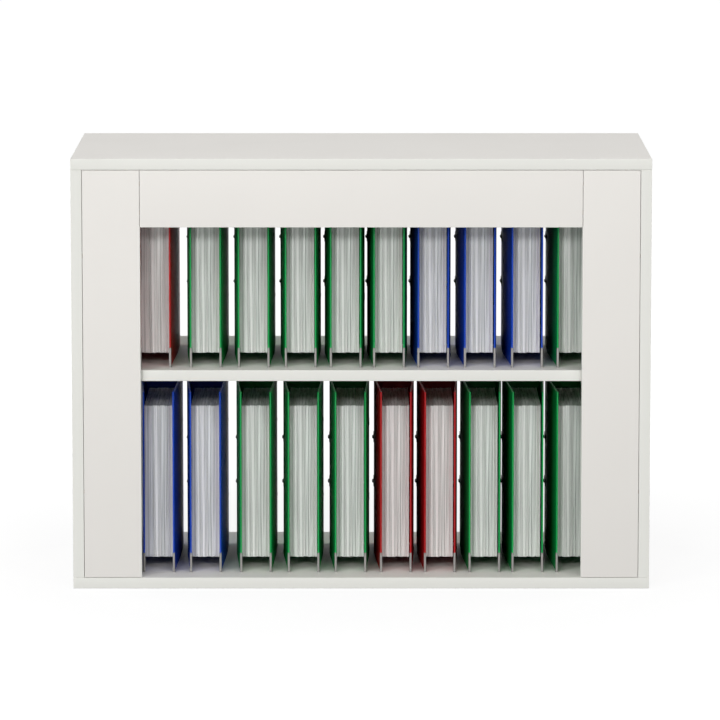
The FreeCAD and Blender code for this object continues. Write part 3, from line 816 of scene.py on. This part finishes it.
# Profiles in pairs: out from the hole's or the slot's edge and up from the face, and for a rivet's head
# up from the face and out from its middle
RING_PROFILE = MM * np.array(((2.6, 0.02), (2.4, 0.4), (1.6, 0.7), (0.4, 0.7), (-0.5, 0.3), (-0.6, -0.4),
                              (-0.6, -3.2), (0, -3.5), (1.2, -3.4), (1.2, -3.02), (-0.05, -3.02),
                              (-0.05, 0.02)))
RIM_PROFILE = MM * np.array(((2.5, -0.02), (2.4, 0.4), (1.8, 0.9), (0.7, 0.9), (-0.2, 0.5), (-0.3, 0),
                             (-0.3, -3.2), (0.1, -3.6), (1.2, -3.6), (1.7, -3.3), (1.7, -3.02),
                             (-0.02, -3.02), (-0.02, -0.02)))
RIVET_PROFILE = MM * np.array(((0, 3.6), (0.2, 3.4), (0.35, 2.6), (0.4, 1.2), (0.4, 0.4)))


@dataclass
class SheetStack:
    """A file's sheets as bundles that stand a little unevenly side by side.

    A size with one value is the most that a random draw gives, and one with two is both its ends.
    Shares are of the stack's thickness, and those of the bundles are scaled to fill it.
    """
    seed: int = 5
    bundles: int = 34
    share: Ends = (0.3, 1.6)
    greyed: tuple[Ends, ...] = ((0.0, 0.17), (0.34, 0.42), (0.56, 0.61), (0.7, 0.82))
    levels: int = 13
    sway: float = 0.5 * MM
    sway_start: float = 6.0
    sway_drift: float = 2.5
    sway_turn: Ends = (3.0, 7.0)
    set_back: float = 1.3 * MM
    bow: float = 0.7 * MM
    bow_start: float = 3.0
    bow_turn: float = 5.0
    foot: float = 1.6 * MM
    head: float = 0.9 * MM
    gap: float = 0.08 * MM
    split: float = 0.3 * MM
    split_odds: float = 0.15
    soft: float = 0.25 * MM

    def shapes(self, low: np.ndarray, high: np.ndarray) -> list[Shape]:
        """Make the bundles.

        The line between two bundles sways by a sine over the height, least at the stack's two sides.
        A bundle's fore-edge bows back by another sine, and its ends are set in a little.

        Args:
            low: the stack's lowest corner.
            high: the stack's highest corner.

        Returns:
            A shape for each bundle, with the second finish where it is greyed.
        """
        random = np.random.default_rng(self.seed)
        shares = np.cumsum(random.uniform(*self.share, self.bundles))
        shares = np.concatenate([[0], shares / shares[-1]])
        rise = np.linspace(0, 1, self.levels)
        phase = random.uniform(0, self.sway_start) + self.sway_drift * shares[:, None]
        wave = np.sin(phase + random.uniform(*self.sway_turn) * rise)
        sway = self.sway * np.sin(math.pi * shares)[:, None] * wave
        edges = low[0] + (high[0] - low[0]) * shares[:, None] + sway
        middle = (shares[:-1] + shares[1:]) / 2
        greyed = np.any([(start < middle) & (middle < end) for start, end in self.greyed], axis=0)
        bundles = []
        for left, right, grey in zip(edges[:-1], edges[1:], greyed):
            set_back, bow = random.uniform(0, self.set_back), random.uniform(0, self.bow)
            start_turn = random.uniform(0, self.bow_start)
            foot, head = random.uniform(0, self.foot), random.uniform(0, self.head)
            gap = self.gap + self.split * (random.uniform() < self.split_odds)
            front = low[1] + set_back + bow * (1 + np.sin(rise * self.bow_turn + start_turn)) / 2
            level = low[2] + foot + (high[2] - low[2] - foot - head) * rise
            soft = np.minimum(self.soft, (right - left) / 4)
            start, end, back = left + gap / 2, right - gap / 2, high[1] - set_back
            rings = [as_points(x, y, level) for x, y in
                     ((start, front + soft), (start + soft, front), (end - soft, front), (end, front + soft),
                      (end, back), (start, back))]
            bundles.append(loft(np.stack(rings, axis=1)).finished(int(grey)))
        return bundles


@dataclass
class LeverArchFile:
    """One file: a foil-covered case, steel shoes, the mechanism on the back cover and the sheets."""
    name: str
    foil: Finish
    depth: float = 285 * MM
    width: float = 71 * MM
    cover: float = 3 * MM
    fold: float = 173 * MM
    front_taper: float = 10.5 * MM
    back_taper: float = 6 * MM
    crease: float = 0.6 * MM
    edge_round: float = 1.2 * MM
    grid_margin: float = 12 * MM
    fold_reach: float = 8 * MM
    gauge: float = 0.5 * MM
    shoe_height: float = 34 * MM
    shoe_wrap: float = 6 * MM
    shoe_bend: float = 0.8 * MM
    hole_height: float = 75 * MM
    hole_radius: float = 13 * MM
    spine_round: float = 0.8 * MM
    slot_centre: float = 253 * MM
    slot_length: float = 50 * MM
    slot_width: float = 9 * MM
    ring_spacing: float = 80 * MM
    wire: float = 2 * MM
    arch_bend: float = 12 * MM
    arch_stand_out: float = 3.3 * MM
    post_y: float = 233 * MM
    post_length: float = 26 * MM
    leg_y: float = 273 * MM
    plate_gauge: float = 1.5 * MM
    plate_length: float = 160 * MM
    plate_margin: float = 8 * MM
    plate_gap: float = 1 * MM
    rivet_rise: float = 68 * MM
    rivet_places: Ends = (230 * MM, 275 * MM)
    lug_gauge: float = 2 * MM
    lug_width: float = 10 * MM
    bar_width: float = 6 * MM
    bar_length: float = 104 * MM
    bar_lift: float = 1.5 * MM
    metal_ease: float = 0.4 * MM
    lever_width: float = 12 * MM
    lever_gauge: float = 3 * MM
    lever_lift: float = 1 * MM
    lever_gap: float = 0.5 * MM
    lever_ease: float = 0.5 * MM
    lever_reach: float = 70 * MM
    grip_foot: float = 66 * MM
    grip_head: float = 95 * MM
    grip_wall: float = 1 * MM
    grip_inner_wall: float = 0.6 * MM
    grip_side: float = 0.4 * MM
    grip_ease: float = 1.2 * MM
    label_width: float = 54 * MM
    label_foot: float = 112 * MM
    label_head: float = 292 * MM
    label_corner: float = 2.5 * MM
    label_faces: Ends = (0.01 * MM, 0.3 * MM)
    origin: np.ndarray = field(init=False)
    height: float = field(init=False)

    def __post_init__(self) -> None:
        """Find the file's own origin and height from its case in the solid model."""
        low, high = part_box(f"{self.name}_case")
        self.origin = np.array((high.x - self.width, low.y + self.gauge, low.z))
        self.height = high.z - low.z

    @property
    def plate_x(self) -> float:
        """The x of the base plate's inner face."""
        return self.width - self.cover - self.plate_gauge

    @property
    def bar_x(self) -> float:
        """The x of the bar's inner face."""
        return self.plate_x - self.bar_lift - self.bar_width

    @property
    def ring_levels(self) -> Ends:
        """The heights of the two rings."""
        middle = self.height / 2
        return middle - self.ring_spacing / 2, middle + self.ring_spacing / 2

    def piece(self, part: str, shapes: Sequence[Shape], finishes: Sequence[Finish],
              replaces: Sequence[str] = ()) -> None:
        """Set shapes from the file's own frame in place and make a piece of them.

        Args:
            part: the part's name.
            shapes: its shapes in the file's own frame.
            finishes: its finishes.
            replaces: the nodes that it stands for.
        """
        placed = [shape.at(*self.origin) for shape in shapes]
        make_piece(f"{self.name}_{part}", self.name, placed, finishes, replaces, self.origin)

    def middle_of_cover(self, y: np.ndarray, front: bool) -> np.ndarray:
        """Give the x of a cover's middle surface at each distance from the fore-edge.

        The cover is straight from the spine to the fold and leans in from there by its taper. The two
        stretches meet in a curve: half the sum of the lean and of its hypotenuse with the crease.

        Args:
            y: the distances from the fore-edge.
            front: the front cover, not the back cover.

        Returns:
            The x of each place.
        """
        taper = self.front_taper if front else self.back_taper
        lean = taper * (1 - y / self.fold)
        curved = (lean + np.hypot(lean, self.crease)) / 2
        return self.cover / 2 + curved if front else self.width - self.cover / 2 - curved

    def cover_board(self, front: bool) -> Shape:
        """Make a cover: two skins whose distance narrows in a curve towards the border.

        Args:
            front: the front cover, which has a slot for each arch.

        Returns:
            The shape.
        """
        rounding = self.edge_round * np.array((0, 0.12, 0.35, 0.7, 1))
        half_slot, half_width = self.slot_length / 2, self.slot_width / 2
        levels = [(z - half_width, z + half_width) for z in self.ring_levels]
        y = np.concatenate([rounding, np.linspace(self.grid_margin, self.fold - self.grid_margin, 9),
                            self.fold + np.linspace(-self.fold_reach, self.fold_reach, 9),
                            (self.slot_centre - half_slot, self.slot_centre + half_slot),
                            self.depth - rounding])
        z = np.concatenate([self.gauge + rounding, np.ravel(levels), self.height - rounding])
        y, z = np.unique(y.round(COVER_DECIMALS)), np.unique(z.round(COVER_DECIMALS))
        to_border = np.minimum(np.minimum(y, self.depth - y)[:, None],
                               np.minimum(z - self.gauge, self.height - z))
        inside = np.clip(to_border / self.edge_round, 0, 1)
        half = self.cover / 2 * np.maximum(np.sqrt(1 - (1 - inside) ** 2), BLUNT)
        middle = self.middle_of_cover(y, front)[:, None]
        skins = [as_points(middle + side * half, y[:, None], z) for side in (-1, 1)]
        centre_y, centre_z = (y[1:] + y[:-1])[:, None] / 2, (z[1:] + z[:-1]) / 2
        kept = np.ones((len(y) - 1, len(z) - 1), bool)
        for bottom, top in levels if front else ():
            kept &= ~((abs(centre_y - self.slot_centre) < half_slot) & (centre_z > bottom) & (centre_z < top))
        return windowed(*skins, kept)

    def spine_board(self) -> Shape:
        """Make the spine: rings run from the finger hole out over one face and back over the other.

        Each place round a ring keeps its angle about the hole, and on the border it lies where that
        ray meets the board's outline.

        Returns:
            The shape.
        """
        centre = np.array((self.width / 2, self.hole_height))
        low = np.array((self.cover, self.gauge)) - centre
        high = np.array((self.width - self.cover, self.height)) - centre
        corners = [math.atan2(z, x) for x in (low[0], high[0]) for z in (low[1], high[1])]
        angle = np.unique(np.concatenate([full_turn(72) - math.pi, corners]).round(FINE_DECIMALS))
        ray = np.stack([np.cos(angle), np.sin(angle)], axis=-1)
        with np.errstate(divide="ignore"):
            border = ray * np.min(np.abs(np.where(ray > 0, high, low) / ray), axis=1)[:, None]
        thick, soft = self.cover, self.spine_round
        rings = []
        for on_border, out, y in ((0, 0, soft / 2), (0, soft / 2, 0), (1, soft, 0), (1, soft / 3, soft / 3),
                                  (1, 0, soft), (1, 0, thick - soft), (1, soft / 3, thick - soft / 3),
                                  (1, soft, thick), (0, soft / 2, thick), (0, 0, thick - soft / 2)):
            flat = np.clip(border, low + out, high - out) if on_border else ray * (self.hole_radius + out)
            rings.append(as_points(centre[0] + flat[:, 0], self.depth - thick + y, centre[1] + flat[:, 1]))
        return loft(np.array(rings), closed=True)

    def finger_ring(self) -> Shape:
        """Make the metal ring that lines the finger hole."""
        angle = full_turn(48)
        normals = as_points(np.cos(angle), 0, np.sin(angle))
        outline = np.array((self.width / 2, self.depth, self.hole_height)) + normals * self.hole_radius
        return sweep(outline, normals, RING_PROFILE, (0, 1, 0))

    def slot_rims(self) -> list[Shape]:
        """Make the metal rims of the two arch slots, on outlines with round ends."""
        angle = full_turn(40)
        normals = as_points(0, np.cos(angle), np.sin(angle))
        radius = self.slot_width / 2
        straight = np.where(np.cos(angle) >= 0, 1, -1) * (self.slot_length / 2 - radius)
        outline = as_points(0, self.slot_centre + straight, 0) + normals * radius
        return [sweep(outline + np.array((0, 0, level)), normals, RIM_PROFILE, (-1, 0, 0))
                for level in self.ring_levels]

    def shoe(self, front: bool) -> list[Shape]:
        """Make the folded steel shoe on a cover's lower front corner.

        Args:
            front: the front cover's shoe, not the back cover's.

        Returns:
            The channel round the cover and the sole under it.
        """
        half, gauge, wrap = self.cover / 2, self.gauge, self.shoe_wrap
        at_front, at_wrap = self.middle_of_cover(np.array((0, wrap)), front)
        wide, bend, turn = half + gauge, self.shoe_bend, quarter_turn(5)
        left_bend = np.stack([at_front - wide + bend * (1 - np.cos(turn)),
                              -gauge + bend * (1 - np.sin(turn))], axis=-1)
        right_bend = np.stack([2 * at_front - left_bend[::-1, 0], left_bend[::-1, 1]], axis=-1)
        outer = np.concatenate([[(at_wrap - wide, wrap)], left_bend, right_bend, [(at_wrap + wide, wrap)]])
        inner = np.array([(at_wrap + half, wrap), (at_front + half, 0), (at_front - half, 0),
                          (at_wrap - half, wrap)])

        def upright(outline: np.ndarray, levels: Sequence[float]) -> Shape:
            """Carry an outline in plan up through some levels."""
            return loft(np.array([as_points(outline[:, 0], outline[:, 1], z) for z in levels]))

        channel = np.concatenate([outer, inner])
        return [upright(channel, (gauge, self.shoe_height)), upright(outer, (0, gauge))]

    def rivets(self) -> list[Shape]:
        """Make the four rivets that hold the base plate, their heads on the back cover's outer face."""
        angle, heads = full_turn(20), []
        for y in self.rivet_places:
            for z in (self.height / 2 - self.rivet_rise, self.height / 2 + self.rivet_rise):
                rings = [as_points(self.width + out, y + radius * np.cos(angle), z + radius * np.sin(angle))
                         for out, radius in RIVET_PROFILE]
                heads.append(loft(np.array(rings)))
        return heads

    def arch(self, level: float) -> Shape:
        """Make one arch: two straight legs joined by quarter bends and a straight top.

        Args:
            level: the arch's height above the base.

        Returns:
            The shape.
        """
        bend, top, turn = self.arch_bend, self.wire - self.arch_stand_out, quarter_turn(9)
        front = np.stack([top + bend * (1 - np.sin(turn)), self.post_y + bend * (1 - np.cos(turn))], axis=-1)
        rear = np.stack([front[::-1, 0], self.post_y + self.leg_y - front[::-1, 1]], axis=-1)
        tip = (self.plate_x - self.post_length, self.post_y)
        plan = np.concatenate([[tip], front, rear, [(self.bar_x, self.leg_y)]])
        return tube(as_points(plan[:, 0], plan[:, 1], level), np.full(len(plan), self.wire), (0, 0, 1))

    def mechanism(self) -> list[Shape]:
        """Make the base plate with its lugs, the posts, the arches and their bar."""
        plate_x, bar_x, leg_y, middle = self.plate_x, self.bar_x, self.leg_y, self.height / 2
        half_plate, half_bar, half_width = self.plate_length / 2, self.bar_length / 2, self.bar_width / 2
        plate = block((plate_x, self.width - self.cover),
                      (self.post_y - self.plate_margin, self.depth - self.cover - self.plate_gap),
                      (middle - half_plate, middle + half_plate), self.metal_ease, "-x -y +y -z +z")
        bar = block((bar_x, bar_x + self.bar_width), (leg_y - half_width, leg_y + half_width),
                    (middle - half_bar, middle + half_bar), self.metal_ease)
        lugs = [block((bar_x, plate_x), (leg_y - self.lug_width / 2, leg_y + self.lug_width / 2),
                      (start, start + self.lug_gauge), self.metal_ease)
                for start in (middle + half_bar, middle - half_bar - self.lug_gauge)]
        shapes = [shape.finished(1) for shape in (plate, bar, *lugs)]
        for level in self.ring_levels:
            shapes.append(domed_rod(np.array((plate_x - self.post_length, self.post_y, level)),
                                    np.array((plate_x, self.post_y, level)), self.wire, (0, 0, 1)))
            shapes.append(self.arch(level).finished(1))
        return shapes

    def lever(self) -> list[Shape]:
        """Make the lever with its arm on the bar and the grip over its end."""
        wide, gauge, side, middle = self.lever_width, self.lever_gauge, self.grip_side, self.height / 2
        low_x = self.bar_x - self.lever_lift - gauge
        low_y = self.leg_y - self.wire - self.lever_gap - wide
        arm = block((low_x + gauge, self.bar_x), (low_y, self.leg_y + self.bar_width / 2),
                    (middle - wide / 2, middle + wide / 2), self.lever_ease)
        handle = block((low_x, low_x + gauge), (low_y, low_y + wide),
                       (middle - wide / 2, middle + self.lever_reach), self.lever_ease)
        grip = block((low_x - self.grip_wall, low_x + gauge + self.grip_inner_wall),
                     (low_y - side, low_y + wide + side),
                     (middle + self.grip_foot, middle + self.grip_head), self.grip_ease)
        return [arm, handle, grip.finished(1)]

    def label(self) -> Shape:
        """Make the card label on the spine, with round corners."""
        turn, radius = np.radians(np.arange(0, 360, 15)), self.label_corner
        across, up = np.cos(turn), np.sin(turn)
        corner_x = np.where(across.round(FINE_DECIMALS) >= 0, 1, -1) * (self.label_width / 2 - radius)
        corner_z = np.where(up.round(FINE_DECIMALS) >= 0, self.label_head - radius, self.label_foot + radius)
        rings = [as_points(self.width / 2 + corner_x + radius * across, self.depth + out,
                           corner_z + radius * up) for out in self.label_faces]
        return loft(np.array(rings))

    def build(self) -> None:
        """Build the file's pieces."""
        boards = [self.cover_board(True), self.spine_board(), self.cover_board(False)]
        self.piece("boards", boards, [self.foil], [f"{self.name}_case"])
        self.piece("shoes", self.shoe(True) + self.shoe(False), [SHOE])
        # The rims' dark finish partly paints their shade against the white background.
        self.piece("slot_rims", self.slot_rims(), [BLACKED_AND_SHADED])
        self.piece("trim", [self.finger_ring(), *self.rivets()], [NICKEL])
        # The plate, bar, lugs and arches take the dark finish, which partly paints their shade against the
        # white background.
        self.piece("mechanism", self.mechanism(), [NICKEL, BLACKED_AND_SHADED])
        self.piece("lever", self.lever(), [NICKEL, GRIP])
        self.piece("label", [self.label()], [CARD])
        low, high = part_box(f"{self.name}_sheets")
        leaves = SheetStack().shapes(np.array(low) - self.origin, np.array(high) - self.origin)
        self.piece("leaves", leaves, [PAPER, GREY_PAPER], [f"{self.name}_sheets"])


# ---------------------------------------------------------------- studio


@dataclass(frozen=True)
class Lamp:
    """A square soft lamp that faces the middle of the cabinet.

    Its azimuth is in degrees round from the front towards the right, its elevation in degrees above
    the horizon, its size the length of its side, and its level the share of a facing surface's
    colour that it lights.
    """
    name: str
    azimuth: float
    elevation: float
    distance: float
    size: float
    level: float


TOP_LAMP = Lamp("top", 0, 88, 4, 1.4, 0.26)
# Those that stand on both sides: the keys in front, brighter on the left, and the rest beside and behind
KEY_LAMPS = (Lamp("key", 12, 20, 10, 1.4, 0.16), Lamp("low_key", 14, 0, 10, 0.7, 0.13),
             Lamp("high_key", 34, 42, 10, 3.0, 0.2))
SIDE_LAMPS = (Lamp("side", 90, 3, 8, 1.6, 0.12), Lamp("rear", 120, 5, 6, 1.2, 0.42))


@dataclass
class Studio:
    """The floor, the background, the lamps and the camera.

    The fill is what the world lights surfaces with, and the lift is the share of white that the
    camera sees added to the floor, least near the object and whole from the end of its range.
    """
    middle: Triple = (0.0, 0.0, 0.4)
    camera_place: Triple = (0.0, -8.833, 1.649)
    camera_pitch: float = math.radians(7.839)
    lens: float = 251.84
    shift: Ends = (-0.00168, -0.05)
    clip_end: float = 100.0
    left_share: float = 1.25
    right_share: float = 0.75
    fill: float = 0.035
    floor_radius: float = 14.0
    floor_grey: float = 0.14
    near_lift: float = 0.88
    lift_range: Ends = (0.6, 1.6)

    def camera(self) -> None:
        """Set the camera in front of the cabinet and above it."""
        data = bpy.data.cameras.new("camera")
        data.lens = self.lens
        data.shift_x, data.shift_y = self.shift
        data.clip_end = self.clip_end
        camera = bpy.data.objects.new("camera", data)
        camera.location = self.camera_place
        camera.rotation_euler = (math.radians(90) - self.camera_pitch, 0, 0)
        bpy.context.scene.collection.objects.link(camera)
        bpy.context.scene.camera = camera

    def add(self, lamp: Lamp, side: int = 1, share: float = 1) -> None:
        """Add a lamp.

        Its power is the level times the squares of pi and of the distance, so that at level 1 a
        surface that faces the lamp shows its own colour.

        Args:
            lamp: the lamp.
            side: 1 to stand it as it says, and -1 to stand it on the other side.
            share: the share of its level that it gives there.
        """
        data = bpy.data.lights.new(lamp.name, "AREA")
        data.size, data.energy = lamp.size, lamp.level * share * (math.pi * lamp.distance) ** 2
        light = bpy.data.objects.new(lamp.name, data)
        turn, rise = math.radians(side * lamp.azimuth), math.radians(lamp.elevation)
        towards = Vector((math.sin(turn) * math.cos(rise), -math.cos(turn) * math.cos(rise),
                             math.sin(rise)))
        light.location = Vector(self.middle) + towards * lamp.distance
        light.rotation_euler = (-towards).to_track_quat("-Z", "Y").to_euler()
        bpy.context.scene.collection.objects.link(light)

    @staticmethod
    def in_sight(wiring: Wiring, *rays: str) -> Socket:
        """Tell rays that the camera sends, by way of gloss or glass at most, from rays that light a surface.

        Args:
            wiring: the material's or world's wiring.
            rays: the kinds of ray that count besides the camera's own.

        Returns:
            1 for those rays and 0 for the rest.
        """
        path = wiring.node("ShaderNodeLightPath").outputs
        seen = path["Is Camera Ray"]
        for ray in rays:
            seen = wiring.calculate("MAXIMUM", seen, path[ray])
        return wiring.calculate("MULTIPLY", seen, wiring.calculate("LESS_THAN", path["Diffuse Depth"], 0.5))

    def world(self) -> None:
        """Show white to the camera and in gloss and glass, and light the rest evenly."""
        world = bpy.data.worlds.new("studio")
        bpy.context.scene.world = world
        wiring = Wiring.of(world)
        seen = self.in_sight(wiring, "Is Glossy Ray", "Is Transmission Ray")
        strength = wiring.remap(seen, 0.0, 1.0, self.fill, 1.0)
        shine = wiring.node("ShaderNodeBackground", {"Color": (1, 1, 1, 1), "Strength": strength})
        wiring.node("ShaderNodeOutputWorld", {"Surface": shine.outputs[0]})

    def floor(self) -> None:
        """Lay a white floor that keeps the shadow near the object and meets the background without a line."""
        angle = full_turn(96)
        mesh = bpy.data.meshes.new("floor")
        rim = self.floor_radius * as_points(np.cos(angle), np.sin(angle), 0)
        mesh.from_pydata(rim.tolist(), [], [list(range(len(angle)))])
        material = bpy.data.materials.new("floor")
        wiring = Wiring.of(material)
        seen = self.in_sight(wiring, "Is Glossy Ray")
        distance = wiring.node("ShaderNodeVectorMath", {0: wiring.object_place()}, operation="LENGTH")
        share = wiring.remap(distance.outputs["Value"], *self.lift_range, self.near_lift, 1.0)
        matte = wiring.node("ShaderNodeBsdfDiffuse", {"Color": (*[self.floor_grey] * 3, 1)})
        glow = wiring.node("ShaderNodeEmission", {"Strength": wiring.calculate("MULTIPLY", seen, share)})
        both = wiring.node("ShaderNodeAddShader", {0: matte.outputs[0], 1: glow.outputs[0]})
        wiring.node("ShaderNodeOutputMaterial", {"Surface": both.outputs[0]})
        mesh.materials.append(material)
        floor = bpy.data.objects.new("floor", mesh)
        bpy.context.scene.collection.objects.link(floor)

    def build(self) -> None:
        """Build the studio."""
        bpy.context.scene.view_settings.view_transform = "Standard"
        self.camera()
        self.add(TOP_LAMP)
        for side, share in ((-1, self.left_share), (1, self.right_share)):
            for lamp in KEY_LAMPS:
                self.add(lamp, side, share)
            for lamp in SIDE_LAMPS:
                self.add(lamp, side)
        self.world()
        self.floor()
        LOG.info("studio is ready")


def main() -> None:
    """Build the cabinet, its files and the studio."""
    logging.basicConfig(level=logging.INFO, format="%(message)s")
    Cabinet().build()
    slots = {part["node"]: part["material_slot"] for part in frame["record"]["subparts"]}
    names = sorted(body for body in frame["bodies"] if body.startswith("file_"))
    for name in names:
        colour = slots[f"{name}_case"].split("_")[0]
        LeverArchFile(name, FOILS[colour]).build()
    Studio().build()


if __name__ == "__main__":
    main()
